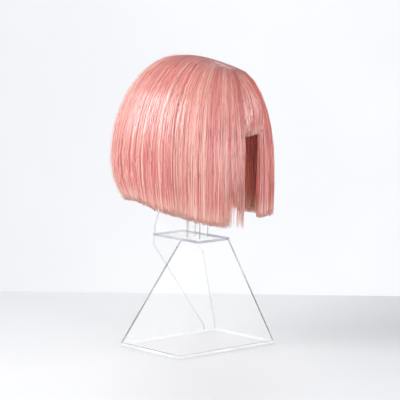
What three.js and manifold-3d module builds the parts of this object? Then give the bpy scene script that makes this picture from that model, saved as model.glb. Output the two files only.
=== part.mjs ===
// Bob wig with a fringe, held up by a clear display stand.
//
// Lengths are millimetres. +Z is up, -Y is the wearer's front and -X the wearer's right.
// The origin is the middle of the base plate's underside, on the axis of the post.
import * as THREE from "three";
import { ConvexGeometry } from "three/addons/geometries/ConvexGeometry.js";
import { LoftGeometry } from "three/addons/geometries/LoftGeometry.js";
import { mergeVertices } from "three/addons/utils/BufferGeometryUtils.js";
import Module from "manifold-3d";

const wasm = await Module();
wasm.setup();

// Fits
const pieceGap = 0.3;
const capGap = 0.4;

// Hair: outer sizes
const crownHeight = 467;
const crownPlace = 14;
const hairHeight = 232;
const hairHalfWidth = 101;
const hairFrontReach = 104;
const hairBackReach = 138;

// Hair: the parting runs along the middle of the head
const partingFront = -58;
const partingBack = 40;
const partingFall = 21;

// Hair: walls, locks and fringe
const hairThickness = 14;
const hemThickness = 7;
const lockDepth = 2.2;
const locksPerSide = 15;
const hemUnevenness = 1.6;
const hemWaveTurn = 1.7;
const fringeSink = 4;
const fringeRoot = 4;
const fringeLocks = 9;
const browHeight = 346;

// Cap
const capThickness = 1.8;
const capCrownRing = 5;

// Stand
const sheetThickness = 4;
const standTurn = THREE.MathUtils.degToRad(-31.3);
const baseLength = 200;
const baseDepth = 146;
const topPlateHeight = 174;
const topPlateLength = 64;
const topPlateDepth = 115;
const topPlateShiftAlong = 9;
const topPlateShiftBack = 26.5;
const frontPanelTopDepth = 47;
const finFootLength = 25;
const finFootRise = 8;
const finTopRise = 14;
const finBendInset = 20;
const finBendShare = 0.8;
const upperFinHeight = 86;
const upperFinRun = 25;
const upperFinFootRise = 12;
const postWidth = 25;
const postWall = 3;
const postTurn = THREE.MathUtils.degToRad(-14);

// Mesh fineness
const domeSteps = 24;
const outerLevels = 14;
const wallLevels = 4;
const columnsPerSide = 56;
const fringeColumns = 28;
const capRings = 7;
const capColumnStep = 2;
const capFineColumns = 8;

// Stations of a side, from the face to the middle of the back.
// across and along are shares of the half width and of the front or back reach, root is the share
// of the parting where the strands start, shoulder and hem are shares of the hair's height below
// the crown, fullness is the exponent of the dome, tuck and thick are shares of the hair's
// thickness, and capEdge is the share of the hair's height below the crown where the cap ends.
const sideStations = [
  {
    across: 0.6, along: -0.87, root: 0.0, shoulder: 0.6, fullness: 2.0, hem: 1.13,
    tuck: 0.3, thick: 0.6, capEdge: 0.34,
  },
  {
    across: 0.87, along: -0.97, root: 0.05, shoulder: 0.8, fullness: 2.1, hem: 1.12,
    tuck: 0.25, thick: 0.8, capEdge: 0.42,
  },
  {
    across: 0.965, along: -0.55, root: 0.16, shoulder: 0.76, fullness: 2.1, hem: 1.115,
    tuck: 0.2, thick: 0.95, capEdge: 0.5,
  },
  {
    across: 1.0, along: -0.05, root: 0.33, shoulder: 0.72, fullness: 2.2, hem: 1.07,
    tuck: 0.3, thick: 1.0, capEdge: 0.55,
  },
  {
    across: 0.975, along: 0.3, root: 0.52, shoulder: 0.72, fullness: 2.1, hem: 1.03,
    tuck: 0.5, thick: 1.0, capEdge: 0.6,
  },
  {
    across: 0.86, along: 0.62, root: 0.72, shoulder: 0.72, fullness: 2.0, hem: 0.98,
    tuck: 0.9, thick: 1.05, capEdge: 0.65,
  },
  {
    across: 0.6, along: 0.86, root: 0.86, shoulder: 0.72, fullness: 1.95, hem: 0.985,
    tuck: 1.2, thick: 1.1, capEdge: 0.68,
  },
  {
    across: 0.31, along: 0.97, root: 0.94, shoulder: 0.72, fullness: 1.9, hem: 0.99,
    tuck: 1.3, thick: 1.1, capEdge: 0.68,
  },
  {
    across: 0.0, along: 1.0, root: 1.0, shoulder: 0.72, fullness: 1.9, hem: 0.99,
    tuck: 1.3, thick: 1.1, capEdge: 0.68,
  },
];

// The middle of the fringe, with the same columns. Its two ends are the first station above.
const fringeMiddle = {
  along: -1.02, shoulder: 0.375, fullness: 1.5, tuck: 0.3, thick: 0.9, capEdge: 0.3,
};

// Waves along the locks: shift is a share of a lock, turn is radians a lock.
const lockWaves = [
  { shift: 0.22, turn: 2.3 },
  { shift: 0.12, turn: 5.1 },
];

const hairMaterial = new THREE.MeshStandardMaterial({ color: "#e39d98", roughness: 0.45, metalness: 0 });
const capMaterial = new THREE.MeshStandardMaterial({ color: "#b9645e", roughness: 0.9, metalness: 0 });
const clearMaterial = new THREE.MeshStandardMaterial({ color: "#eef3f5", roughness: 0.05, metalness: 0 });
clearMaterial.transparent = true;
clearMaterial.opacity = 0.3;

// A column of a table at a place between its rows, by a Catmull-Rom spline.
function tableValue(rows, column, place) {
  const last = rows.length - 1;
  const row = Math.min(Math.floor(place), last - 1);
  const share = place - row;
  const [before, from, to, after] = [-1, 0, 1, 2].map(
    (step) => rows[THREE.MathUtils.clamp(row + step, 0, last)][column],
  );
  const curve = new THREE.CubicBezierCurve(
    new THREE.Vector2(0, from),
    new THREE.Vector2(1 / 3, from + (to - before) / 6),
    new THREE.Vector2(2 / 3, to - (after - from) / 6),
    new THREE.Vector2(1, to),
  );
  return curve.getPoint(share).y;
}

// Height of the parting at a place along it.
function partingHeight(along) {
  const share = (along - crownPlace) / (partingFront - crownPlace);
  return crownHeight - partingFall * share * share;
}

// A strand: a vertical plane from its root on the parting out to its place on the hair's outline.
function strand(root, tip, values) {
  const outward = tip.clone().sub(root);
  return {
    ...values,
    root,
    reach: outward.length(),
    outward: outward.normalize(),
    rootHeight: partingHeight(root.y),
  };
}

// The strand of a side at a place between its first station (0) and its last.
function sideStrand(place) {
  const value = (column) => tableValue(sideStations, column, place);
  const along = value("along");
  const tip = new THREE.Vector2(
    Math.max(value("across") * hairHalfWidth, pieceGap / 2),
    along * (along < 0 ? hairFrontReach : hairBackReach),
  );
  const root = new THREE.Vector2(
    pieceGap / 2,
    THREE.MathUtils.lerp(partingFront, partingBack, value("root")),
  );
  return strand(root, tip, {
    shoulderHeight: crownHeight - value("shoulder") * hairHeight,
    hemHeight: crownHeight - value("hem") * hairHeight,
    capEdgeHeight: crownHeight - value("capEdge") * hairHeight,
    fullness: value("fullness"),
    tuck: value("tuck") * hairThickness,
    thickness: value("thick") * hairThickness,
  });
}

// The strand of the fringe at a share from its right end (-1) to its left end (1).
function fringeStrand(share) {
  const end = sideStrand(0);
  const sideways = new THREE.Vector2(end.outward.y, -end.outward.x);
  const start = end.root.clone()
    .addScaledVector(sideways, pieceGap)
    .addScaledVector(end.outward, fringeRoot);
  const stop = end.root.clone()
    .addScaledVector(sideways, pieceGap)
    .addScaledVector(end.outward, end.reach);
  const middle = fringeMiddle.along * hairFrontReach;
  const tip = new THREE.Vector2(stop.x * share, THREE.MathUtils.lerp(middle, stop.y, share * share));
  const blend = (centre, edge) => THREE.MathUtils.lerp(centre, edge, share * share);
  return strand(new THREE.Vector2(start.x * share, start.y), tip, {
    shoulderHeight: blend(crownHeight - fringeMiddle.shoulder * hairHeight, end.shoulderHeight),
    hemHeight: browHeight,
    capEdgeHeight: blend(crownHeight - fringeMiddle.capEdge * hairHeight, end.capEdgeHeight),
    fullness: blend(fringeMiddle.fullness, end.fullness),
    tuck: blend(fringeMiddle.tuck * hairThickness, end.tuck),
    thickness: blend(fringeMiddle.thick * hairThickness, end.thickness),
  });
}

// How far out from its root a profile lies at a height. It is a depth inside the hair's outer form
// on the dome, and below the shoulder that depth runs over to another one at the hem.
function outAt(at, depth, hemDepth, height) {
  const reach = at.reach - depth;
  const above = (height - at.shoulderHeight) / (at.rootHeight - depth - at.shoulderHeight);
  if (above > 0) return reach * Math.max(1 - above ** at.fullness, 0) ** (1 / at.fullness);
  const below = (at.shoulderHeight - height) / (at.shoulderHeight - at.hemHeight);
  return reach - at.tuck * below ** 2 + (depth - hemDepth) * below;
}

// Evenly spaced points of a profile, from a distance out at the crown down to an end height.
function profile(at, depth, startOut, endHeight, levels) {
  const reach = at.reach - depth;
  const rise = at.rootHeight - depth - at.shoulderHeight;
  const power = 2 / at.fullness;
  const highEnd = Math.max(endHeight, at.shoulderHeight);
  const startAngle = Math.asin((startOut / reach) ** (1 / power));
  const endAngle = Math.acos(((highEnd - at.shoulderHeight) / rise) ** (1 / power));
  const path = new THREE.Path();
  for (let step = 0; step <= domeSteps; step++) {
    const angle = THREE.MathUtils.lerp(startAngle, endAngle, step / domeSteps);
    const height = at.shoulderHeight + rise * Math.max(Math.cos(angle), 0) ** power;
    const out = reach * Math.sin(angle) ** power;
    if (step === 0) path.moveTo(out, height);
    else path.lineTo(out, height);
  }
  for (let step = 1; step <= domeSteps && endHeight < at.shoulderHeight; step++) {
    const height = THREE.MathUtils.lerp(at.shoulderHeight, endHeight, step / domeSteps);
    path.lineTo(outAt(at, depth, depth, height), height);
  }
  return path.getSpacedPoints(levels);
}

// A point of a profile in space. side is 1 for the wearer's left and -1 for the right.
function inSpace(at, point, side) {
  return new THREE.Vector3(
    side * (at.root.x + at.outward.x * point.x),
    at.root.y + at.outward.y * point.x,
    point.y,
  );
}

// How deep a lock's valley is (0 to 1) at a place counted in locks. Waves shift the place, so that
// the locks differ in width.
function valley(place) {
  let shifted = place;
  for (const { shift, turn } of lockWaves) shifted += shift * Math.sin(turn * place);
  return (1 + Math.cos(2 * Math.PI * shifted)) / 2;
}

// One section of hair: down the outer side to the hem and back up the inner side. Over the cap the
// inner side has the cap's own levels, so that the two stay an even gap apart.
function hairSection(at, side, lockPlace, sink) {
  const hem = at.hemHeight + hemUnevenness * Math.sin(hemWaveTurn * lockPlace);
  const outer = profile(at, sink, 0, hem, outerLevels).map((point, level) => {
    const inset = lockDepth * valley(lockPlace) * (level / outerLevels);
    return new THREE.Vector2(point.x - inset, point.y);
  });
  const inner = profile(at, at.thickness, capCrownRing, at.capEdgeHeight, capRings);
  for (let level = 1; level <= wallLevels; level++) {
    const height = THREE.MathUtils.lerp(at.capEdgeHeight, hem, level / wallLevels);
    inner.push(new THREE.Vector2(outAt(at, at.thickness, hemThickness, height), height));
  }
  return [...outer, ...inner.reverse()].map((point) => inSpace(at, point, side));
}

function mesh(name, geometry, material) {
  const made = new THREE.Mesh(geometry, material.clone());
  made.name = name;
  return made;
}

// Hair of one side, from the edge beside the face to the middle of the back.
function sideHair(name, side) {
  const sections = [];
  for (let column = 0; column <= columnsPerSide; column++) {
    const share = column / columnsPerSide;
    const at = sideStrand(share * (sideStations.length - 1));
    const section = hairSection(at, side, share * locksPerSide, 0);
    sections.push(side > 0 ? section : section.reverse());
  }
  return mesh(name, new LoftGeometry(sections, { capStart: true, capEnd: true }), hairMaterial);
}

function fringe() {
  const sections = [];
  for (let column = 0; column <= fringeColumns; column++) {
    const share = (2 * column) / fringeColumns - 1;
    const at = fringeStrand(share);
    sections.push(hairSection(at, 1, (column / fringeColumns) * fringeLocks, fringeSink));
  }
  return mesh("fringe", new LoftGeometry(sections, { capStart: true, capEnd: true }), hairMaterial);
}

// The strands that the cap follows, once round the head from the front over the left side. Each
// starts at a ridge under the parting, and those of the fringe all start at its front end.
function capStrands() {
  const front = sideStrand(0);
  const around = [];
  for (let column = 0; column <= fringeColumns; column += capColumnStep) {
    around.push({ at: fringeStrand((2 * column) / fringeColumns - 1), side: 1, ridge: front });
  }
  const sides = [];
  for (let column = 0; column < columnsPerSide; column++) {
    if (column > capFineColumns && column % capColumnStep) continue;
    sides.push(sideStrand((column / columnsPerSide) * (sideStations.length - 1)));
  }
  around.push(...sides.map((at) => ({ at, side: 1, ridge: at })));
  around.push(...sides.reverse().map((at) => ({ at, side: -1, ridge: at })));
  return around;
}

// A dome a depth below the hair's inner side, as rings from the cap's edge up to the ridge.
function domeRings(depthBelowHair) {
  const profiles = capStrands().map(({ at, side, ridge }) => {
    const depth = at.thickness + depthBelowHair;
    const points = profile(at, depth, capCrownRing, at.capEdgeHeight, capRings);
    const top = new THREE.Vector3(0, ridge.root.y, ridge.rootHeight - ridge.thickness - depthBelowHair);
    return [top, ...points.map((point) => inSpace(at, point, side))];
  });
  return profiles[0].map((_, level) => profiles.map((points) => points[level])).reverse();
}

// A closed solid for the boolean cut. The sides of a ridge meet, so triangles there that have no
// width are left out.
function solid(geometry) {
  const bare = new THREE.BufferGeometry().setIndex(geometry.index);
  bare.setAttribute("position", geometry.getAttribute("position"));
  const merged = mergeVertices(bare);
  const triangles = [];
  for (let first = 0; first < merged.index.count; first += 3) {
    const corners = merged.index.array.slice(first, first + 3);
    if (new Set(corners).size === 3) triangles.push(...corners);
  }
  return new wasm.Manifold(new wasm.Mesh({
    numProp: 3,
    vertProperties: merged.attributes.position.array,
    triVerts: new Uint32Array(triangles),
  }));
}

function geometryOf(made) {
  const { vertProperties, triVerts } = made.getMesh();
  const geometry = new THREE.BufferGeometry();
  geometry.setAttribute("position", new THREE.BufferAttribute(vertProperties, 3));
  geometry.setIndex(new THREE.BufferAttribute(triVerts, 1));
  geometry.computeVertexNormals();
  return geometry;
}

// The cap: a thin shell under the hair, open at the face and at the bottom.
function cap() {
  const outer = domeRings(capGap);
  const inner = domeRings(capGap + capThickness);
  const hemLevel = crownHeight - hairHeight;
  inner.unshift(inner[0].map((point) => new THREE.Vector3(point.x, point.y, hemLevel)));
  const [whole, hollow] = [outer, inner].map((rings) => (
    solid(new LoftGeometry(rings, { capStart: true }))
  ));
  return mesh("cap", geometryOf(whole.subtract(hollow)), capMaterial);
}

// A horizontal plate of the stand. place is the middle of its outline, top its upper face.
function plate(name, length, depth, place, top) {
  const made = mesh(name, new THREE.BoxGeometry(length, depth, sheetThickness), clearMaterial);
  made.position.set(place.x, place.y, top - sheetThickness / 2);
  return made;
}

// A leaning sheet with level ends: the hull of its foot and its head, each a list of plan points.
function leaningSheet(name, foot, head, footLevel, headLevel) {
  const points = [
    ...foot.map(([x, y]) => new THREE.Vector3(x, y, footLevel)),
    ...head.map(([x, y]) => new THREE.Vector3(x, y, headLevel)),
  ];
  return mesh(name, new ConvexGeometry(points), clearMaterial);
}

// The two front sheets meet in a mitre at the stand's front corner, which leans back as it rises.
function frontSheets(footLevel, headLevel) {
  const rise = headLevel - footLevel;
  const footCorner = new THREE.Vector2(-baseLength / 2, -baseDepth / 2);
  const headCorner = new THREE.Vector2(
    topPlateShiftAlong - topPlateLength / 2,
    topPlateShiftBack - topPlateDepth / 2,
  );
  const across = headCorner.clone().sub(footCorner).divideScalar(rise);
  const wallAlong = sheetThickness * Math.hypot(1, across.x);
  const wallBack = sheetThickness * Math.hypot(1, across.y);
  const mitre = pieceGap / Math.SQRT2;
  const leftOutline = (corner, far) => [
    [corner.x, corner.y + mitre],
    [corner.x, far],
    [corner.x + wallAlong, far],
    [corner.x + wallAlong, corner.y + wallBack + mitre],
  ];
  const rightOutline = (corner, far) => [
    [corner.x + mitre, corner.y],
    [far, corner.y],
    [far, corner.y + wallBack],
    [corner.x + wallAlong + mitre, corner.y + wallBack],
  ];
  return [
    leaningSheet(
      "front_left_panel",
      leftOutline(footCorner, baseDepth / 2),
      leftOutline(headCorner, headCorner.y + frontPanelTopDepth),
      footLevel,
      headLevel,
    ),
    leaningSheet(
      "front_right_panel",
      rightOutline(footCorner, baseLength / 2),
      rightOutline(headCorner, topPlateShiftAlong + topPlateLength / 2),
      footLevel,
      headLevel,
    ),
  ];
}

// An upright sheet cut to an outline of plan distance and height, standing in the x-z plane.
function uprightSheet(name, outline) {
  const shape = new THREE.Shape(outline.map(([x, z]) => new THREE.Vector2(x, z)));
  const geometry = new THREE.ExtrudeGeometry(shape, { depth: sheetThickness, bevelEnabled: false });
  geometry.rotateX(Math.PI / 2);
  return mesh(name, geometry, clearMaterial);
}

// The back sheet leans out from the base plate's back edge to the top plate's back edge.
function backFin(footLevel, headLevel) {
  const headBack = topPlateShiftBack + topPlateDepth / 2;
  const footBack = baseDepth / 2;
  const topStart = topPlateShiftAlong - topPlateLength / 2;
  const topEnd = topPlateShiftAlong + topPlateLength / 2;
  const footEnd = baseLength / 2;
  const rise = headLevel - footLevel;
  const outline = [
    [footEnd - finFootLength, 0],
    [footEnd, 0],
    [footEnd - finBendInset, rise * finBendShare],
    [topEnd, rise],
    [topStart, rise],
    [topStart, rise - finTopRise],
    [footEnd - finFootLength, finFootRise],
  ];
  const made = uprightSheet("back_fin", outline);
  made.rotation.x = -Math.atan2(headBack - footBack, rise);
  made.position.set(0, footBack, footLevel);
  return made;
}

// The upright sheet between the post and the top plate's back corner.
function upperFin() {
  const corner = new THREE.Vector2(
    topPlateShiftAlong - topPlateLength / 2,
    topPlateShiftBack + topPlateDepth / 2,
  );
  const near = postWidth / Math.SQRT2 + pieceGap;
  const far = corner.length() - sheetThickness;
  const made = uprightSheet("upper_fin", [
    [near, 0],
    [far, 0],
    [far, upperFinFootRise],
    [far - upperFinRun, upperFinHeight],
    [near, upperFinHeight],
  ]);
  made.geometry.translate(0, sheetThickness / 2, 0);
  made.rotation.z = corner.angle();
  made.position.z = topPlateHeight + pieceGap;
  return made;
}

// The square tube that carries the wig, from the top plate up to just under the cap's crown.
function post(capMesh) {
  const half = postWidth / 2;
  const inside = half - postWall;
  const square = (size) => [[-size, -size], [size, -size], [size, size], [-size, size]]
    .map(([x, y]) => new THREE.Vector2(x, y));
  const upward = new THREE.Vector3(0, 0, 1);
  const foot = topPlateHeight + pieceGap;
  const roofs = square(half).map((corner) => {
    const from = new THREE.Vector3(corner.x, corner.y, foot).applyAxisAngle(upward, postTurn);
    return new THREE.Raycaster(from, upward).intersectObject(capMesh)[0].point.z;
  });
  const section = new THREE.Shape(square(half));
  section.holes.push(new THREE.Path(square(inside).reverse()));
  const depth = Math.min(...roofs) - pieceGap - foot;
  const geometry = new THREE.ExtrudeGeometry(section, { depth, bevelEnabled: false });
  const made = mesh("post", geometry, clearMaterial);
  made.rotation.z = postTurn;
  made.position.z = foot;
  return made;
}

function stand() {
  const group = new THREE.Group();
  const footLevel = sheetThickness + pieceGap;
  const headLevel = topPlateHeight - sheetThickness - pieceGap;
  const topPlace = new THREE.Vector2(topPlateShiftAlong, topPlateShiftBack);
  group.add(
    plate("base_plate", baseLength, baseDepth, new THREE.Vector2(), sheetThickness),
    plate("top_plate", topPlateLength, topPlateDepth, topPlace, topPlateHeight),
    ...frontSheets(footLevel, headLevel),
    backFin(footLevel, headLevel),
    upperFin(),
  );
  group.rotation.z = standTurn;
  return group;
}

const wig = new THREE.Group();
const capMesh = cap();
wig.add(capMesh, sideHair("right_hair", -1), sideHair("left_hair", 1), fringe());
wig.add(stand(), post(capMesh));

export default wig;
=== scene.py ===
"""A pink bob wig on its clear display stand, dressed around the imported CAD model."""

import math

import bmesh
import bpy
import numpy as np
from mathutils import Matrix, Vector


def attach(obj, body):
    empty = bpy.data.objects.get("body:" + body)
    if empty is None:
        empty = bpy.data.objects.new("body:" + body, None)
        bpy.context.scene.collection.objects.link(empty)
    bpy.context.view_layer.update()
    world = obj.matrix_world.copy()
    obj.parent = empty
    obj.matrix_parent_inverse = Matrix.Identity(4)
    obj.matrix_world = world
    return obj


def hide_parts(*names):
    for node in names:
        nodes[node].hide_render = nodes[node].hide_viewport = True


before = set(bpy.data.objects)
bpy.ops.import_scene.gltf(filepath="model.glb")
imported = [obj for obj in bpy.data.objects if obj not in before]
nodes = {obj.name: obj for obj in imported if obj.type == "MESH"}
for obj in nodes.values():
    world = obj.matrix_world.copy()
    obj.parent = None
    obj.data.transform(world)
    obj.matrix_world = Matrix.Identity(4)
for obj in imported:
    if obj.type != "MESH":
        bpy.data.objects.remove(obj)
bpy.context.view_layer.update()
scene = bpy.context.scene
MM = 0.001
random = np.random.default_rng(7)

# Camera
VIEW_AZIMUTH = math.radians(-72)
VIEW_ELEVATION = math.radians(7.4)
VIEW_DISTANCE = 3.4
IMAGE_SIDE = 400
FOCAL_PIXELS = 2125
SENSOR_WIDTH = 36.0
AIM_HEIGHT = 0.2347
AIM_RIGHT = 0.0042


def toward(azimuth, elevation):
    """The unit vector from the wig to a place at an azimuth and elevation."""
    level = math.cos(elevation)
    return Vector((math.sin(azimuth) * level, -math.cos(azimuth) * level, math.sin(elevation)))


view_right = Vector((math.cos(VIEW_AZIMUTH), math.sin(VIEW_AZIMUTH), 0))
aim = Vector((0, 0, AIM_HEIGHT)) + AIM_RIGHT * view_right
camera_data = bpy.data.cameras.new("camera")
camera_data.sensor_width = SENSOR_WIDTH
camera_data.lens = FOCAL_PIXELS / IMAGE_SIDE * SENSOR_WIDTH
camera_data.clip_end = 20
camera = bpy.data.objects.new("camera", camera_data)
scene.collection.objects.link(camera)
camera.location = aim + VIEW_DISTANCE * toward(VIEW_AZIMUTH, VIEW_ELEVATION)
camera.rotation_euler = (aim - camera.location).to_track_quat("-Z", "Y").to_euler()
scene.camera = camera
scene.view_settings.view_transform = "Standard"


# Materials
def linear(hex_colour):
    """An sRGB hex colour as linear red, green, blue and alpha."""
    parts = [int(hex_colour[at:at + 2], 16) / 255 for at in (1, 3, 5)]
    return [c / 12.92 if c <= 0.04045 else ((c + 0.055) / 1.055) ** 2.4 for c in parts] + [1.0]


def add_node(tree, kind, inputs=(), stops=(), **settings):
    """Adds a node. inputs go in order, and a setting is a property or an input by name. An input
    is a value, or a socket to link. stops are a colour ramp's (position, hex colour) pairs."""
    made = tree.nodes.new(kind)
    given = list(enumerate(inputs))
    for name, value in settings.items():
        if hasattr(made, name):
            setattr(made, name, value)
        else:
            given.append((name.replace("_", " "), value))
    for key, value in given:
        if isinstance(value, bpy.types.NodeSocket):
            tree.links.new(value, made.inputs[key])
        else:
            made.inputs[key].default_value = value
    if stops:
        elements = made.color_ramp.elements
        while len(elements) < len(stops):
            elements.new(0.5)
        for element, (position, colour) in zip(elements, stops):
            element.position = position
            element.color = linear(colour)
    return made


def new_material(name):
    """A material with a bare Principled shader, and its tree and shader."""
    material = bpy.data.materials.new(name)
    material.use_nodes = True
    tree = material.node_tree
    return material, tree, tree.nodes["Principled BSDF"]


LIGHT_REACH = (1.0, 0.32, 0.26)
ROOT_SHADE_END = 0.22
ROOT_KEEPS = 0.3
TIP_LIGHTENING_START = 0.88
TIP_PAINTED_LIGHT = 0.7


def let_light_through(shader, weight, depth):
    """Light sinks into the hair and comes out redder up to a few millimetres away."""
    shader.inputs["Subsurface Weight"].default_value = weight
    shader.inputs["Subsurface Radius"].default_value = LIGHT_REACH
    shader.inputs["Subsurface Scale"].default_value = depth


def fibre_material(name, stops, root_colour_and_shade, tip_painted_light, roughness):
    """Smooth synthetic fibre. The strand's own number across the map picks its shade, and the way
    along it darkens the root, which is dull too, and lightens the tip. The darker root is partly the
    fibre's own darker roots and partly painted shade over the crown. The lighter tip is painted
    light, for light that comes through the thin tips."""
    material, tree, shader = new_material(name)
    place = add_node(tree, "ShaderNodeUVMap", uv_map="strand")
    split = add_node(tree, "ShaderNodeSeparateXYZ", Vector=place.outputs["UV"])
    shade = add_node(tree, "ShaderNodeValToRGB", stops=stops, Fac=split.outputs["X"])
    # Partly painted shade: the root end is darkened for less light on the crown, as well as for
    # darker roots.
    off_root = add_node(
        tree, "ShaderNodeMapRange", interpolation_type="SMOOTHSTEP", Value=split.outputs["Y"],
        From_Min=0.0, From_Max=ROOT_SHADE_END, To_Min=ROOT_KEEPS,
    )
    rooted = add_node(
        tree, "ShaderNodeMix", data_type="RGBA", Factor=off_root.outputs["Result"],
        A=linear(root_colour_and_shade), B=shade.outputs["Color"],
    )
    # Painted light: the tips are lightened for light that comes through them.
    near_tip = add_node(
        tree, "ShaderNodeMapRange", interpolation_type="SMOOTHSTEP", Value=split.outputs["Y"],
        From_Min=TIP_LIGHTENING_START, From_Max=1.0, To_Max=TIP_PAINTED_LIGHT,
    )
    tipped = add_node(
        tree, "ShaderNodeMix", data_type="RGBA", Factor=near_tip.outputs["Result"],
        A=rooted.outputs["Result"], B=linear(tip_painted_light),
    )
    tree.links.new(tipped.outputs["Result"], shader.inputs["Base Color"])
    tree.links.new(off_root.outputs["Result"], shader.inputs["Specular IOR Level"])
    shader.inputs["Roughness"].default_value = roughness
    return material, shader


# Heat-resistant modacrylic fibre, spun smooth: satin, with a soft line of shine along each strand.
outer_fibre, shader = fibre_material(
    "modacrylic_fibre_outer",
    [(0.0, "#ae4347"), (0.25, "#d06464"), (0.6, "#e17f79"), (0.85, "#f3a898"), (1.0, "#fed4c4")],
    "#c27c7e", "#f4b8aa", 0.34,
)
shader.inputs["IOR"].default_value = 1.75
let_light_through(shader, 0.35, 2 * MM)
# The same fibre inside the wig, where light has come through the hair and is redder. Its colour is
# painted light: a redder, paler copy of the fibre that stands for that light.
inner_fibre_painted_light, shader = fibre_material(
    "modacrylic_fibre_inner_painted_light",
    [(0.0, "#ea5b49"), (0.5, "#fb7c65"), (1.0, "#ffa087")],
    "#b03c34", "#ffb092", 0.5,
)
let_light_through(shader, 0.6, 4 * MM)
# The imported hair under the outer strands: the same fibre, massed, with streaks along it that show
# single fibres. The streaks are coarser than the real fibre, which is too fine to see. Its darker,
# redder colour is painted shade, for the shade under the outer strands.
packed_fibre_painted_shade, tree, shader = new_material("modacrylic_fibre_packed_painted_shade")
place = add_node(tree, "ShaderNodeUVMap", uv_map="strand")
stretched = add_node(tree, "ShaderNodeMapping", Vector=place.outputs["UV"], Scale=(420, 3, 1))
streaks = add_node(tree, "ShaderNodeTexNoise", Vector=stretched.outputs["Vector"], Detail=2.0)
tone = add_node(
    tree, "ShaderNodeValToRGB", stops=[(0.3, "#b3504a"), (0.5, "#cf6a62"), (0.7, "#df837b")],
    Fac=streaks.outputs["Fac"],
)
tree.links.new(tone.outputs["Color"], shader.inputs["Base Color"])
bump = add_node(
    tree, "ShaderNodeBump", Height=streaks.outputs["Fac"], Strength=0.5, Distance=0.4 * MM,
)
tree.links.new(bump.outputs["Normal"], shader.inputs["Normal"])
shader.inputs["Roughness"].default_value = 0.5
let_light_through(shader, 0.7, 5 * MM)

SHEET_ALPHA = 0.07
FAINT_EDGE = 0.55
FACE_TURN = 0.9
ACRYLIC_IOR = 1.49
POST_HALF = 12.5 * MM
POST_LINE = 1.3 * MM
POST_TURN = math.radians(-14)


def acrylic(name, edge_colour, edge_alpha, normals=()):
    """Cast acrylic sheet, cut and polished. Its faces are clear and glossy, and its edges gather
    light from inside the sheet and show as grey lines. These lines are a painted reflection: a grey
    tint and a stronger alpha painted along the edges. normals are the directions that its faces look
    in. With none it is the square tube, whose lines lie along its corners. Patches make a line
    fainter in places, and smears make the gloss uneven."""
    material, tree, shader = new_material(name)
    place = add_node(tree, "ShaderNodeTexCoord").outputs["Object"]
    if normals:
        facing = add_node(tree, "ShaderNodeNewGeometry").outputs["Normal"]
        turned = [
            add_node(tree, "ShaderNodeVectorMath", (facing, normal), operation="DOT_PRODUCT")
            for normal in normals
        ]
        measures = [node.outputs["Value"] for node in turned]
        test, limit = "LESS_THAN", FACE_TURN
    else:
        turned = add_node(tree, "ShaderNodeMapping", Vector=place, Rotation=(0, 0, -POST_TURN))
        split = add_node(tree, "ShaderNodeSeparateXYZ", Vector=turned.outputs["Vector"])
        measures = [split.outputs["X"], split.outputs["Y"]]
        test, limit = "GREATER_THAN", POST_HALF - POST_LINE
    edge = 1.0
    for measure in measures:
        size = add_node(tree, "ShaderNodeMath", (measure,), operation="ABSOLUTE")
        found = add_node(tree, "ShaderNodeMath", (size.outputs["Value"], limit), operation=test)
        both = add_node(
            tree, "ShaderNodeMath", (edge, found.outputs["Value"]), operation="MULTIPLY",
        )
        edge = both.outputs["Value"]
    patches = add_node(tree, "ShaderNodeTexNoise", Vector=place, Scale=14.0, Detail=1.0)
    strength = add_node(
        tree, "ShaderNodeMapRange", Value=patches.outputs["Fac"],
        From_Min=0.35, From_Max=0.6, To_Min=edge_alpha * FAINT_EDGE, To_Max=edge_alpha,
    )
    line = add_node(
        tree, "ShaderNodeMath", (edge, strength.outputs["Result"]), operation="MULTIPLY",
    )
    alpha = add_node(
        tree, "ShaderNodeMath", (line.outputs["Value"], SHEET_ALPHA), operation="MAXIMUM",
    )
    tree.links.new(alpha.outputs["Value"], shader.inputs["Alpha"])
    tint = add_node(
        tree, "ShaderNodeValToRGB", stops=[(0.0, "#ffffff"), (1.0, edge_colour)], Fac=edge,
    )
    tree.links.new(tint.outputs["Color"], shader.inputs["Base Color"])
    smears = add_node(tree, "ShaderNodeTexNoise", Vector=place, Scale=18.0, Detail=4.0)
    gloss = add_node(
        tree, "ShaderNodeMapRange", Value=smears.outputs["Fac"],
        From_Min=0.45, From_Max=0.8, To_Min=0.02, To_Max=0.12,
    )
    tree.links.new(gloss.outputs["Result"], shader.inputs["Roughness"])
    shader.inputs["IOR"].default_value = ACRYLIC_IOR
    return material


# Knitted cap net with elastic: matt and thin, with a mesh of small holes. The holes are drawn
# coarser than the real ones, which are too fine to see.
NET_HOLE = 2.2 * MM
cap_net, tree, shader = new_material("knitted_cap_net")
place = add_node(tree, "ShaderNodeTexCoord")
holes = add_node(
    tree, "ShaderNodeTexVoronoi", Vector=place.outputs["Object"], Scale=1 / NET_HOLE, Randomness=0.35,
)
tone = add_node(
    tree, "ShaderNodeValToRGB", stops=[(0.25, "#c77069"), (0.6, "#8e3f3a")],
    Fac=holes.outputs["Distance"],
)
tree.links.new(tone.outputs["Color"], shader.inputs["Base Color"])
bump = add_node(
    tree, "ShaderNodeBump", invert=True, Height=holes.outputs["Distance"], Strength=0.6,
    Distance=0.5 * MM,
)
tree.links.new(bump.outputs["Normal"], shader.inputs["Normal"])
shader.inputs["Roughness"].default_value = 0.9

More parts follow.
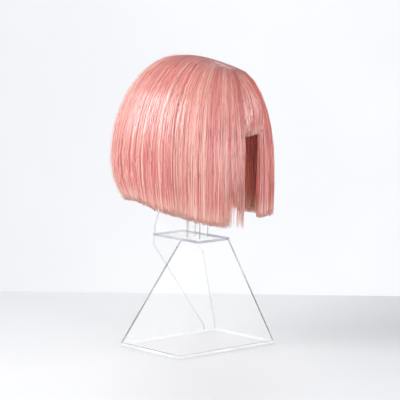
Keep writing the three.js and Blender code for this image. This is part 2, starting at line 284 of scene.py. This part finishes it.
# Painted board: plain, pale and matt, with a faint mottle.
paints = {}
for part, mottles in (("table", ("#d1d2d4", "#d4d5d7")), ("backdrop", ("#ecedef", "#eff0f1"))):
    paints[part], tree, shader = new_material("painted_board_" + part)
    place = add_node(tree, "ShaderNodeTexCoord")
    mottle = add_node(tree, "ShaderNodeTexNoise", Vector=place.outputs["Object"], Scale=3.0)
    tone = add_node(
        tree, "ShaderNodeValToRGB", stops=list(zip((0.3, 0.7), mottles)), Fac=mottle.outputs["Fac"],
    )
    tree.links.new(tone.outputs["Color"], shader.inputs["Base Color"])
    shader.inputs["Roughness"].default_value = 0.6

# Form of the hair, with the CAD source's own sizes
GAP = 0.3 * MM
CROWN_HEIGHT = 467 * MM
CROWN_PLACE = 14 * MM
HAIR_HEIGHT = 232 * MM
HALF_WIDTH = 101 * MM
FRONT_REACH = 104 * MM
BACK_REACH = 138 * MM
PARTING_FRONT = -58 * MM
PARTING_BACK = 40 * MM
PARTING_FALL = 21 * MM
THICKNESS = 14 * MM
LOCK_DEPTH = 2.2 * MM
LOCKS_PER_SIDE = 15
LOCK_WAVES = ((0.22, 2.3), (0.12, 5.1))
FRINGE_ROOT = 4 * MM
FRINGE_SINK = 4 * MM
FRINGE_LOCKS = 9
FRINGE_HEM_HEIGHT = 346 * MM
STATIONS = {
    "across": (0.6, 0.87, 0.965, 1.0, 0.975, 0.86, 0.6, 0.31, 0.0),
    "along": (-0.87, -0.97, -0.55, -0.05, 0.3, 0.62, 0.86, 0.97, 1.0),
    "root": (0.0, 0.05, 0.16, 0.33, 0.52, 0.72, 0.86, 0.94, 1.0),
    "shoulder": (0.6, 0.8, 0.76, 0.72, 0.72, 0.72, 0.72, 0.72, 0.72),
    "fullness": (2.0, 2.1, 2.1, 2.2, 2.1, 2.0, 1.95, 1.9, 1.9),
    "hem": (1.13, 1.12, 1.115, 1.07, 1.03, 0.98, 0.985, 0.99, 0.99),
    "tuck": (0.3, 0.25, 0.2, 0.3, 0.5, 0.9, 1.2, 1.3, 1.3),
    "thick": (0.6, 0.8, 0.95, 1.0, 1.0, 1.05, 1.1, 1.1, 1.1),
    "cap_edge": (0.34, 0.42, 0.5, 0.55, 0.6, 0.65, 0.68, 0.68, 0.68),
}
LAST_STATION = 8
FRINGE_MIDDLE = {
    "along": -1.02, "shoulder": 0.375, "fullness": 1.5, "tuck": 0.3, "thick": 0.9, "cap_edge": 0.3,
}
PROFILE_STEPS = 30
MOST_TUCK = 1.1


def table_value(column, place):
    """A column of the station table at places between its rows, by a Catmull-Rom spline."""
    values = np.array(STATIONS[column])
    row = np.clip(np.floor(place), 0, LAST_STATION - 1).astype(int)
    share = place - row
    before, start, stop, after = (
        values[np.clip(row + step, 0, LAST_STATION)] for step in (-1, 0, 1, 2)
    )
    return 0.5 * (
        2 * start + (stop - before) * share
        + (2 * before - 5 * start + 4 * stop - after) * share ** 2
        + (3 * start - before - 3 * stop + after) * share ** 3
    )


def plane(root, tip, values):
    """Vertical planes that strands lie in, from roots on the parting out to the outline."""
    outward = tip - root
    reach = np.linalg.norm(outward, axis=1)
    fall = (root[:, 1] - CROWN_PLACE) / (PARTING_FRONT - CROWN_PLACE)
    return dict(
        values, root=root, reach=reach, outward=outward / reach[:, None],
        root_height=CROWN_HEIGHT - PARTING_FALL * fall ** 2,
    )


def side_planes(place):
    """The planes of a side at places between its first station (0) and its last (8)."""
    value = {column: table_value(column, place) for column in STATIONS}
    reach = np.where(value["along"] < 0, FRONT_REACH, BACK_REACH)
    tip = np.stack([np.maximum(value["across"] * HALF_WIDTH, GAP / 2), value["along"] * reach], 1)
    along_parting = PARTING_FRONT + (PARTING_BACK - PARTING_FRONT) * value["root"]
    root = np.stack([np.full_like(place, GAP / 2), along_parting], 1)
    return plane(root, tip, {
        "shoulder": CROWN_HEIGHT - value["shoulder"] * HAIR_HEIGHT,
        "hem": CROWN_HEIGHT - value["hem"] * HAIR_HEIGHT,
        "cap_edge": CROWN_HEIGHT - value["cap_edge"] * HAIR_HEIGHT,
        "fullness": value["fullness"],
        "tuck": value["tuck"] * THICKNESS,
        "thickness": value["thick"] * THICKNESS,
        "lock": place / LAST_STATION * LOCKS_PER_SIDE,
        "side": place / LAST_STATION,
    })


def fringe_planes(share):
    """The planes of the fringe at shares from its right end (-1) to its left end (1)."""
    end = side_planes(np.zeros_like(share))
    outward = end["outward"]
    sideways = np.stack([outward[:, 1], -outward[:, 0]], 1) * GAP
    start = end["root"] + sideways + outward * FRINGE_ROOT
    stop = end["root"] + sideways + outward * end["reach"][:, None]
    square = share ** 2
    middle = FRINGE_MIDDLE["along"] * FRONT_REACH
    root = np.stack([start[:, 0] * share, start[:, 1]], 1)
    tip = np.stack([stop[:, 0] * share, middle + (stop[:, 1] - middle) * square], 1)

    def blend(centre, edge):
        return centre + (edge - centre) * square

    return plane(root, tip, {
        "shoulder": blend(CROWN_HEIGHT - FRINGE_MIDDLE["shoulder"] * HAIR_HEIGHT, end["shoulder"]),
        "hem": np.full_like(share, FRINGE_HEM_HEIGHT),
        "cap_edge": blend(CROWN_HEIGHT - FRINGE_MIDDLE["cap_edge"] * HAIR_HEIGHT, end["cap_edge"]),
        "fullness": blend(FRINGE_MIDDLE["fullness"], end["fullness"]),
        "tuck": blend(FRINGE_MIDDLE["tuck"] * THICKNESS, end["tuck"]),
        "thickness": blend(FRINGE_MIDDLE["thick"] * THICKNESS, end["thickness"]),
        "lock": (share + 1) / 2 * FRINGE_LOCKS,
        "side": (share + 1) / 2,
    })


def outer_profile(at, longer):
    """Distance out, height and length along the outer form of each plane in even steps, and the
    length down to the hem. longer lowers the hem."""
    angle = np.linspace(0, math.pi / 2, PROFILE_STEPS)[None]
    power = (2 / at["fullness"])[:, None]
    rise = (at["root_height"] - at["shoulder"])[:, None]
    reach, shoulder = at["reach"][:, None], at["shoulder"][:, None]
    dome_out = reach * np.sin(angle) ** power
    dome_height = shoulder + rise * np.maximum(np.cos(angle), 0) ** power
    down = np.linspace(0, 1, PROFILE_STEPS)[None, 1:]
    hem = at["hem"] - longer
    drop = np.maximum(at["shoulder"] - hem, 0)[:, None] * down
    full_drop = np.maximum(at["shoulder"] - at["hem"], MM)[:, None]
    wall_out = reach - at["tuck"][:, None] * np.minimum(drop / full_drop, MOST_TUCK) ** 2
    out = np.concatenate([dome_out, wall_out], 1)
    height = np.concatenate([dome_height, shoulder - drop], 1)
    steps = np.hypot(np.diff(out, axis=1), np.diff(height, axis=1))
    length = np.concatenate([np.zeros((len(out), 1)), np.cumsum(steps, 1)], 1)
    whole = np.array([np.interp(-low, -row, along) for low, row, along in zip(hem, height, length)])
    return out, height, length, whole


def lay(at, shares, depth, drift, side, longer=0.0):
    """Points (strands, steps, 3) on the hair at shares of the way from the parting to the hem.
    depth is how far they lie inside the outer form and drift is how far they stray sideways.
    Also gives the direction out of the hair at each point."""
    out, height, length, whole = outer_profile(at, np.broadcast_to(longer, at["reach"].shape))
    slope_out = np.gradient(out, axis=1)
    slope_height = np.gradient(height, axis=1)
    size = np.hypot(slope_out, slope_height) + 1e-12
    profile = (out, height, -slope_height / size, slope_out / size)
    picked = [
        np.array([
            np.interp(share * hem, along, row)
            for share, hem, along, row in zip(shares, whole, length, rows)
        ]) for rows in profile
    ]
    picked_out, picked_height, normal_out, normal_up = picked
    locks = at["lock"]
    shifted = locks + sum(shift * np.sin(turn * locks) for shift, turn in LOCK_WAVES)
    valley = LOCK_DEPTH * (1 + np.cos(2 * math.pi * shifted)) / 2
    inward = depth + valley[:, None] * shares
    picked_out = np.maximum(picked_out - normal_out * inward, 0)
    picked_height = picked_height - normal_up * inward
    outward = at["outward"][:, None]
    across = np.stack([-outward[..., 1], outward[..., 0]], -1)
    level = at["root"][:, None] + outward * picked_out[..., None] + across * drift[..., None]
    points = np.concatenate([level, picked_height[..., None]], -1)
    normal = np.concatenate([outward * normal_out[..., None], normal_up[..., None]], -1)
    flip = np.array([side, 1, 1])
    return points * flip, normal * flip


# Strands
def make_object(name, mesh, *materials):
    made = bpy.data.objects.new(name, mesh)
    scene.collection.objects.link(made)
    for material in materials:
        mesh.materials.append(material)
    return made


CORNERS = 3
BAKE_STEP = 0.006


def strand_mesh(name, points, normal, radius, shade, along):
    """One mesh of closed three-sided strands. Each has its own shade across the map, and the way
    along the strand runs up the map. The map for baking gives each strand some width as well, and
    fills the square."""
    count, steps = points.shape[:2]
    tangent = np.gradient(points, axis=1)
    tangent /= np.linalg.norm(tangent, axis=2, keepdims=True) + 1e-12
    across = np.cross(tangent, normal)
    across /= np.linalg.norm(across, axis=2, keepdims=True) + 1e-12
    upright = np.cross(across, tangent)
    turns = 2 * math.pi * np.arange(CORNERS) / CORNERS + math.pi / 2
    ring = (
        across[:, :, None] * np.cos(turns)[None, None, :, None]
        + upright[:, :, None] * np.sin(turns)[None, None, :, None]
    )
    vertices = points[:, :, None] + ring * radius[:, :, None, None]
    first = (np.arange(count) * steps * CORNERS)[:, None, None]
    step = (np.arange(steps - 1) * CORNERS)[None, :, None]
    corner = np.arange(CORNERS)[None, None, :]
    following = (corner + 1) % CORNERS
    base = first + step
    quads = np.stack([
        base + corner, base + CORNERS + corner, base + CORNERS + following, base + following,
    ], -1).reshape(-1, 4)
    start = first[:, 0] + np.arange(CORNERS)[None]
    stop = start[:, ::-1] + (steps - 1) * CORNERS
    ends = np.concatenate([start, stop])
    loops = np.concatenate([quads.ravel(), ends.ravel()])
    sizes = np.concatenate([np.full(len(quads), 4), np.full(len(ends), CORNERS)])
    mesh = bpy.data.meshes.new(name)
    mesh.vertices.add(count * steps * CORNERS)
    mesh.vertices.foreach_set("co", vertices.ravel())
    mesh.loops.add(len(loops))
    mesh.loops.foreach_set("vertex_index", loops)
    mesh.polygons.add(len(sizes))
    mesh.polygons.foreach_set("loop_start", np.concatenate([[0], np.cumsum(sizes)[:-1]]))
    mesh.polygons.foreach_set("use_smooth", sizes != CORNERS)
    mesh.update(calc_edges=True)
    strand_of = loops // (steps * CORNERS)
    step_of = loops // CORNERS % steps
    uv = np.stack([shade[strand_of], along[strand_of, step_of]], 1)
    mesh.uv_layers.new(name="strand").uv.foreach_set("vector", uv.ravel().astype(np.float32))
    uv[:, 0] += (loops % CORNERS - 1) * BAKE_STEP
    uv = (uv - uv.min(0)) / np.ptp(uv, 0)
    mesh.uv_layers.new(name="OFBake").uv.foreach_set("vector", uv.ravel().astype(np.float32))
    mesh.validate()
    return mesh


def spread(count, low, high):
    """Places spread evenly with a random step, in no order that shows."""
    return low + (high - low) * (np.arange(count) + random.random(count)) / count


# Strands are drawn several times as thick as real fibre, so that they show.
FIBRE_RADIUS = 0.5 * MM
FINE_RADIUS = 0.3 * MM
FIBRE_STEPS = 12
WALL_STEPS = 6
ROOT_CROWDING = 1.3
TIP_START = 0.975
END_THICKNESS = 0.6
ROOT_SINK = 0.8 * MM
ROOT_SINK_REACH = 0.02
WANDER = 0.8 * MM
STRAND_LEAN = 1.8 * MM
LEAN_CURVE = 1.5
OUTWARD_BIAS = 1.5

# Small locks, and the share that a strand, its lock and its depth have in its shade. The share of
# depth is painted shade: strands that lie deeper, and in a lock's groove, are coloured darker for the
# shade that falls on them.
SMALL_LOCKS = 90
LOCK_WIDTHS = (0.35, 1.9)
LOCK_LEAN = 0.9 * MM
LOCK_SINK = 1.0 * MM
LOCK_GROOVE = 1.2 * MM
GROOVE_CURVE = 4
GROOVE_RISE = 0.45
STRAND_SHADE = 0.72
LOCK_SHADE = 0.28
DEPTH_PAINTED_SHADE = 0.4
SHADE_DEPTH = 8 * MM
SHADE_MARGIN = 0.01


def make_locks(count):
    """Small locks of uneven width, each with its own lean at the hem, depth, groove and tone."""
    widths = random.uniform(*LOCK_WIDTHS, count)
    edges = np.concatenate([[0], np.cumsum(widths)]) / widths.sum()
    return {
        "edges": edges,
        "lean": random.normal(0, LOCK_LEAN, count),
        "deep": random.uniform(0, LOCK_SINK, count),
        "groove": random.uniform(0.1, 1.0, count) ** 2 * LOCK_GROOVE,
        "tone": random.random(count),
    }


def in_locks(locks, place):
    """Each place's lock, and how far across it is, from -1 to 1."""
    index = np.clip(np.searchsorted(locks["edges"], place) - 1, 0, len(locks["tone"]) - 1)
    low, high = locks["edges"][index], locks["edges"][index + 1]
    return index, np.clip((place - low) / (high - low), 0, 1) * 2 - 1


def strands(
    name, planes_of, places, side, locks, depth, start, longer, radius, material,
    steps=FIBRE_STEPS, wander=WANDER, paler=0.1,
):
    """A layer of strands from a start share to the hem. depth is a pair: the least and the most.
    wander is how far the strands bend sideways, and paler is added to every shade."""
    at = planes_of(places)
    count = len(places)
    way = np.append(TIP_START * np.linspace(0, 1, steps - 1) ** ROOT_CROWDING, 1.0)[None]
    shares = start[:, None] + (1 - start)[:, None] * way
    index, across = in_locks(locks, at["side"])
    deep = depth[0] + (depth[1] - depth[0]) * random.random(count) ** OUTWARD_BIAS
    rise = np.minimum(shares / GROOVE_RISE, 1)
    groove = locks["groove"][index] * across ** GROOVE_CURVE + locks["deep"][index]
    sunk = (deep + groove) / SHADE_DEPTH
    deep = deep[:, None] + groove[:, None] * rise
    rooted = ROOT_SINK * np.exp(-(shares - start[:, None]) / ROOT_SINK_REACH)
    lean = locks["lean"][index] + random.normal(0, STRAND_LEAN, count)
    bends = sum(
        random.normal(0, wander / turn, (count, 1)) * np.sin(turn * math.pi * way)
        for turn in (1, 2, 3)
    )
    drift = lean[:, None] * shares ** LEAN_CURVE + bends
    points, normal = lay(at, shares, deep + rooted, drift, side, longer)
    taper = np.ones(steps)
    taper[[0, -1]] = END_THICKNESS
    own, shared = random.random(count), locks["tone"][index]
    # Painted shade: strands that lie deeper are coloured darker.
    shade = paler + STRAND_SHADE * own + LOCK_SHADE * shared - DEPTH_PAINTED_SHADE * sunk
    shade = np.clip(shade, SHADE_MARGIN, 1 - SHADE_MARGIN)
    thick = radius * random.uniform(0.7, 1.3, count)[:, None] * taper[None]
    mesh = strand_mesh(name, points, normal, thick, shade, shares)
    return make_object(name, mesh, material)


def uneven(count, shorter, longer):
    """How much longer each strand is than the cut, from -shorter to longer."""
    return random.uniform(-shorter, longer, count)


PACKED_GRID = (110, 30)
PACKED_WALL = 2.2 * MM
PACKED_ROOT_SINK = 3.0 * MM
PACKED_SINK_REACH = 0.04
PACKED_END = 0.985


def packed_hair(name, planes_of, low, high, side, depth):
    """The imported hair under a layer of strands: a grid laid at a depth, with a wall."""
    mesh = bpy.data.meshes.new(name)
    bm = bmesh.new()
    bm.loops.layers.uv.new("strand")
    across, along = PACKED_GRID
    bmesh.ops.create_grid(bm, x_segments=across, y_segments=along, size=0.5, calc_uvs=True)
    flat = np.array([v.co[:2] for v in bm.verts]) + 0.5
    at = planes_of(low + (high - low) * flat[:, 0])
    shares = flat[:, 1:2] * PACKED_END
    sunk = depth + PACKED_ROOT_SINK * np.exp(-shares / PACKED_SINK_REACH)
    points, _ = lay(at, shares, sunk, np.zeros_like(shares), side)
    for vertex, point in zip(bm.verts, points[:, 0]):
        vertex.co = point
    bmesh.ops.recalc_face_normals(bm, faces=bm.faces)
    for face in bm.faces:
        face.smooth = True
    bm.to_mesh(mesh)
    bm.free()
    made = make_object(name, mesh, packed_fibre_painted_shade)
    wall = made.modifiers.new("wall", "SOLIDIFY")
    wall.thickness = PACKED_WALL
    wall.offset = -1
    return made


def smooth(value, low, high):
    """A smooth step from 0 at low to 1 at high."""
    share = np.clip((value - low) / (high - low), 0, 1)
    return share * share * (3 - 2 * share)


PARTING_STARTS = (0.0, 0.004)
WEFT_STARTS = (0.1, 0.5)


def start_shares(count, from_parting):
    """Most strands start at the parting, and the rest from wefts lower down."""
    at_parting = random.random(count) < from_parting
    starts = random.uniform(*PARTING_STARTS, count)
    return np.where(at_parting, starts, random.uniform(*WEFT_STARTS, count))


def thinned(places, low, high):
    """Leaves out more and more of the places from high down to low."""
    return places[random.random(len(places)) < smooth(places, low, high)]


# The layers of a side, with the most strands and the depth of each. The right side's thin out
# towards its front edge, between two places.
OUTER_LAYERS = (("outer", 2600, (0.0, 1.6 * MM)), ("middle", 2300, (1.0 * MM, 3.2 * MM)))
OUTER_THINNING = (1.4, 2.2)
FROM_PARTING = 0.75
INNER_STRANDS = 1400
INNER_DEPTH = (5.8 * MM, 8.0 * MM)
INNER_STARTS = (0.3, 0.45)
INNER_THINNING = (1.5, 2.0)
PACKED_DEPTH = 4.0 * MM
PACKED_FROM = {"right": 1.9, "left": 0.35}
STRAY_STRANDS = 60
STRAY_FROM = 1.5
STRAY_DEPTH = (-1 * MM, -4 * MM)
STRAY_RADIUS = 0.7 * FINE_RADIUS
STRAY_WANDER = 4 * MM

pieces = {}
for label, side in (("right", -1), ("left", 1)):
    node = label + "_hair"
    locks = make_locks(SMALL_LOCKS)
    for layer, most, depth in OUTER_LAYERS:
        places = spread(most, 0.0, LAST_STATION)
        if label == "right":
            places = thinned(places, *OUTER_THINNING)
        count = len(places)
        name = label + "_" + layer + "_strands"
        pieces[name] = strands(
            name, side_planes, places, side, locks, depth, start_shares(count, FROM_PARTING),
            uneven(count, 5 * MM, 3 * MM), FIBRE_RADIUS, outer_fibre,
        ), node
    places = spread(INNER_STRANDS, 0.0, LAST_STATION)
    if label == "right":
        places = thinned(places, *INNER_THINNING)
    count = len(places)
    name = label + "_inner_strands"
    pieces[name] = strands(
        name, side_planes, places, side, locks, INNER_DEPTH, random.uniform(*INNER_STARTS, count),
        uneven(count, 8 * MM, -1 * MM), FIBRE_RADIUS, inner_fibre_painted_light, WALL_STEPS,
    ), node
    name = label + "_packed_hair"
    pieces[name] = packed_hair(
        name, side_planes, PACKED_FROM[label], LAST_STATION, side, PACKED_DEPTH,
    ), node
    name = label + "_stray_strands"
    pieces[name] = strands(
        name, side_planes, spread(STRAY_STRANDS, STRAY_FROM, LAST_STATION), side, locks, STRAY_DEPTH,
        random.uniform(0.0, 0.4, STRAY_STRANDS), uneven(STRAY_STRANDS, 20 * MM, 5 * MM),
        STRAY_RADIUS, outer_fibre, wander=STRAY_WANDER,
    ), node

# The right side thins out to single strands at its front edge: a few go down to the hem, more of
# them further back, and the rest end higher up.
WISPS = 900
WISPS_TO = 1.8
WISPS_FORWARD_BIAS = 0.6
WISPS_DEPTH = (0.0, 4.0 * MM)
WISPS_WANDER = 1.2 * MM
LEAST_KEPT = 0.04
MORE_KEPT = 0.45
KEPT_BETWEEN = (1.35, 1.75)
LEAST_SHORTER = 15
MORE_SHORTER = 95
places = WISPS_TO * spread(WISPS, 0.0, 1.0) ** WISPS_FORWARD_BIAS
kept = random.random(WISPS) < LEAST_KEPT + MORE_KEPT * smooth(places, *KEPT_BETWEEN)
cut = uneven(WISPS, 8 * MM, 5 * MM)
ends = np.where(kept, cut, -(LEAST_SHORTER + MORE_SHORTER * random.random(WISPS) ** 0.8) * MM)
pieces["right_front_wisps"] = strands(
    "right_front_wisps", side_planes, places, -1, make_locks(SMALL_LOCKS), WISPS_DEPTH,
    start_shares(WISPS, 1.0), ends, FINE_RADIUS, outer_fibre, wander=WISPS_WANDER,
), "right_hair"

# The left side ends in a full edge.
EDGE_STRANDS = 700
EDGE_TO = 0.5
EDGE_DEPTH = (0.5 * MM, 7.5 * MM)
pieces["left_edge_strands"] = strands(
    "left_edge_strands", side_planes, spread(EDGE_STRANDS, 0.0, EDGE_TO), 1,
    make_locks(SMALL_LOCKS), EDGE_DEPTH, start_shares(EDGE_STRANDS, 1.0),
    uneven(EDGE_STRANDS, 3 * MM, 2 * MM), FIBRE_RADIUS, outer_fibre,
), "left_hair"

# Fringe
FRINGE_STRANDS = 1300
FRINGE_REACH = (-1.0, 0.94)
FRINGE_DEPTH = (1 * MM, FRINGE_SINK + 1 * MM)
FRINGE_RADIUS = 1.3 * FINE_RADIUS
# Painted light: the fringe strands are coloured paler than the rest, for the light that shows through
# them.
FRINGE_PAINTED_LIGHT = 0.22
FRINGE_PACKED_REACH = (-0.95, 0.85)
FRINGE_PACKED_DEPTH = FRINGE_SINK + 2.5 * MM
pieces["fringe_strands"] = strands(
    "fringe_strands", fringe_planes, spread(FRINGE_STRANDS, *FRINGE_REACH), 1,
    make_locks(SMALL_LOCKS), FRINGE_DEPTH, random.uniform(0.0, 0.01, FRINGE_STRANDS),
    uneven(FRINGE_STRANDS, 6 * MM, 4 * MM), FRINGE_RADIUS, outer_fibre, FIBRE_STEPS - 2,
    paler=FRINGE_PAINTED_LIGHT,
), "fringe"
pieces["fringe_packed_hair"] = packed_hair(
    "fringe_packed_hair", fringe_planes, *FRINGE_PACKED_REACH, 1, FRINGE_PACKED_DEPTH,
), "fringe"

for name, (piece, node) in pieces.items():
    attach(piece, "root")
    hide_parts(node)

# Cap
cap_bm = bmesh.new()
cap_bm.from_mesh(nodes["cap"].data)
bmesh.ops.remove_doubles(cap_bm, verts=cap_bm.verts, dist=0.01 * MM)
bmesh.ops.dissolve_degenerate(cap_bm, dist=0.02 * MM, edges=cap_bm.edges)
cap_mesh = bpy.data.meshes.new("cap_net")
cap_bm.to_mesh(cap_mesh)
cap_bm.free()
for polygon in cap_mesh.polygons:
    polygon.use_smooth = True
cap_piece = make_object("cap_net", cap_mesh, cap_net)
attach(cap_piece, "root")
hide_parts("cap")

# Stand
def sheet_normal(mesh):
    """The direction that a sheet's largest faces look in."""
    total = {}
    for polygon in mesh.polygons:
        key = tuple(round(abs(part), 2) for part in polygon.normal)
        area, _ = total.get(key, (0, None))
        total[key] = area + polygon.area, polygon.normal.copy()
    return max(total.values(), key=lambda pair: pair[0])[1]


# Painted reflection: the grey colour and strength of each sheet's edge lines.
STAND_PAINTED_EDGES = {
    "base_plate": ("#f6f7fa", 0.75),
    "top_plate": ("#8f8b9c", 0.7),
    "back_fin": ("#9a9da5", 0.4),
    "upper_fin": ("#85878f", 0.6),
}
for name, (colour, alpha) in STAND_PAINTED_EDGES.items():
    mesh = nodes[name].data
    mesh.materials.clear()
    mesh.materials.append(acrylic("cast_acrylic_" + name, colour, alpha, [sheet_normal(mesh)]))
# Painted reflection along the post's corners.
nodes["post"].data.materials.clear()
nodes["post"].data.materials.append(acrylic("cast_acrylic_post", "#7d7f88", 0.75))

# The two front sheets are bonded along their mitre. A clear bond shows no seam, so the piece that
# stands for them has no faces in the mitre.
BOND_REACH = 0.5 * MM
CORNERS_AT_FOOT = 8
front_names = ("front_left_panel", "front_right_panel")
front_bm = bmesh.new()
for name in front_names:
    front_bm.from_mesh(nodes[name].data)
bmesh.ops.remove_doubles(front_bm, verts=front_bm.verts, dist=0.01 * MM)
bmesh.ops.dissolve_limit(
    front_bm, angle_limit=math.radians(0.5), verts=front_bm.verts, edges=front_bm.edges,
)
from_foot = sorted(front_bm.verts, key=lambda v: v.co.z)
for half in (from_foot[:CORNERS_AT_FOOT], from_foot[CORNERS_AT_FOOT:]):
    bmesh.ops.remove_doubles(front_bm, verts=half, dist=BOND_REACH)
inside = [f for f in front_bm.faces if all(len(e.link_faces) > 2 for e in f.edges)]
bmesh.ops.delete(front_bm, geom=inside, context="FACES")
front_mesh = bpy.data.meshes.new("front_panels")
front_bm.to_mesh(front_mesh)
front_bm.free()
# Painted reflection along the front sheets' edges.
front_acrylic = acrylic(
    "cast_acrylic_front_panels", "#74777f", 0.88,
    [sheet_normal(nodes[name].data) for name in front_names],
)
front_panels = make_object("front_panels", front_mesh, front_acrylic)
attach(front_panels, "root")
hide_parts(*front_names)

# Stage
TABLE_EDGE = Vector((0.453, 0.143, -0.4 * MM))
TABLE_EDGE_RUN = Vector((0.176, -0.714, 0)).normalized()
TABLE_AWAY = Vector((0.714, 0.176, 0)).normalized()
TABLE_HALF_DEPTH = 1.5
STAGE_HALF_WIDTH = 4.0
BACKDROP_AWAY = 3.2
BACKDROP_MIDDLE = Vector((0, 0, 1.0))
BACKDROP_UP = Vector((0, 0, 2.0))


def stage_plane(name, middle, side_run, up_run):
    mesh = bpy.data.meshes.new(name)
    bm = bmesh.new()
    bmesh.ops.create_grid(bm, x_segments=1, y_segments=1, size=1.0)
    for vertex in bm.verts:
        vertex.co = middle + side_run * vertex.co.x + up_run * vertex.co.y
    bm.to_mesh(mesh)
    bm.free()
    make_object(name, mesh, paints[name])


stage_run = TABLE_EDGE_RUN * STAGE_HALF_WIDTH
table_run = TABLE_AWAY * TABLE_HALF_DEPTH
stage_plane("table", TABLE_EDGE - table_run, stage_run, table_run)
stage_plane(
    "backdrop", TABLE_EDGE + TABLE_AWAY * BACKDROP_AWAY + BACKDROP_MIDDLE, stage_run, BACKDROP_UP,
)

# Softboxes round the wig, as azimuth, elevation, size and power
SOFTBOX_DISTANCE = 1.7
SOFTBOX_AIM = Vector((0, 0, 0.3))
SOFTBOXES = {
    "key_softbox": (-138, 29, 1.0, 25),
    "side_softbox": (-32, 20, 1.0, 14),
    "front_softbox": (-68, 3, 0.7, 9),
    "far_softbox": (112, 22, 1.0, 9),
}
# Two lamps behind the table, one high and one low, face the backdrop and light it alone.
BACKDROP_LAMPS = {"backdrop_lamp_high": 2.2, "backdrop_lamp_low": -1.7}
BACKDROP_LAMP_BEHIND = 0.2
BACKDROP_LAMP_SIZE = 1.6
BACKDROP_LAMP_POWER = 47


def square_lamp(name, place, facing, size, power):
    lamp = bpy.data.lights.new(name, "AREA")
    lamp.shape = "SQUARE"
    lamp.size = size
    lamp.energy = power
    made = bpy.data.objects.new(name, lamp)
    scene.collection.objects.link(made)
    made.location = place
    made.rotation_euler = facing.to_track_quat("-Z", "Y").to_euler()


for name, (azimuth, elevation, size, power) in SOFTBOXES.items():
    outward = toward(math.radians(azimuth), math.radians(elevation))
    square_lamp(name, SOFTBOX_AIM + SOFTBOX_DISTANCE * outward, -outward, size, power)
for name, lamp_height in BACKDROP_LAMPS.items():
    place = TABLE_EDGE + TABLE_AWAY * BACKDROP_LAMP_BEHIND + Vector((0, 0, lamp_height))
    square_lamp(name, place, TABLE_AWAY, BACKDROP_LAMP_SIZE, BACKDROP_LAMP_POWER)

# The room: white walls, brightest at eye level and dimmer overhead.
ROOM_STRENGTH = 0.48
world = bpy.data.worlds.new("studio")
world.use_nodes = True
tree = world.node_tree
direction = add_node(tree, "ShaderNodeTexCoord")
split = add_node(tree, "ShaderNodeSeparateXYZ", Vector=direction.outputs["Generated"])
tone = add_node(
    tree, "ShaderNodeValToRGB", stops=[(0.0, "#fafbff"), (0.35, "#f4f6fa"), (1.0, "#e4e6ea")],
    Fac=split.outputs["Z"],
)
tree.links.new(tone.outputs["Color"], tree.nodes["Background"].inputs["Color"])
tree.nodes["Background"].inputs["Strength"].default_value = ROOM_STRENGTH
scene.world = world
scene.cycles.transparent_max_bounces = 32
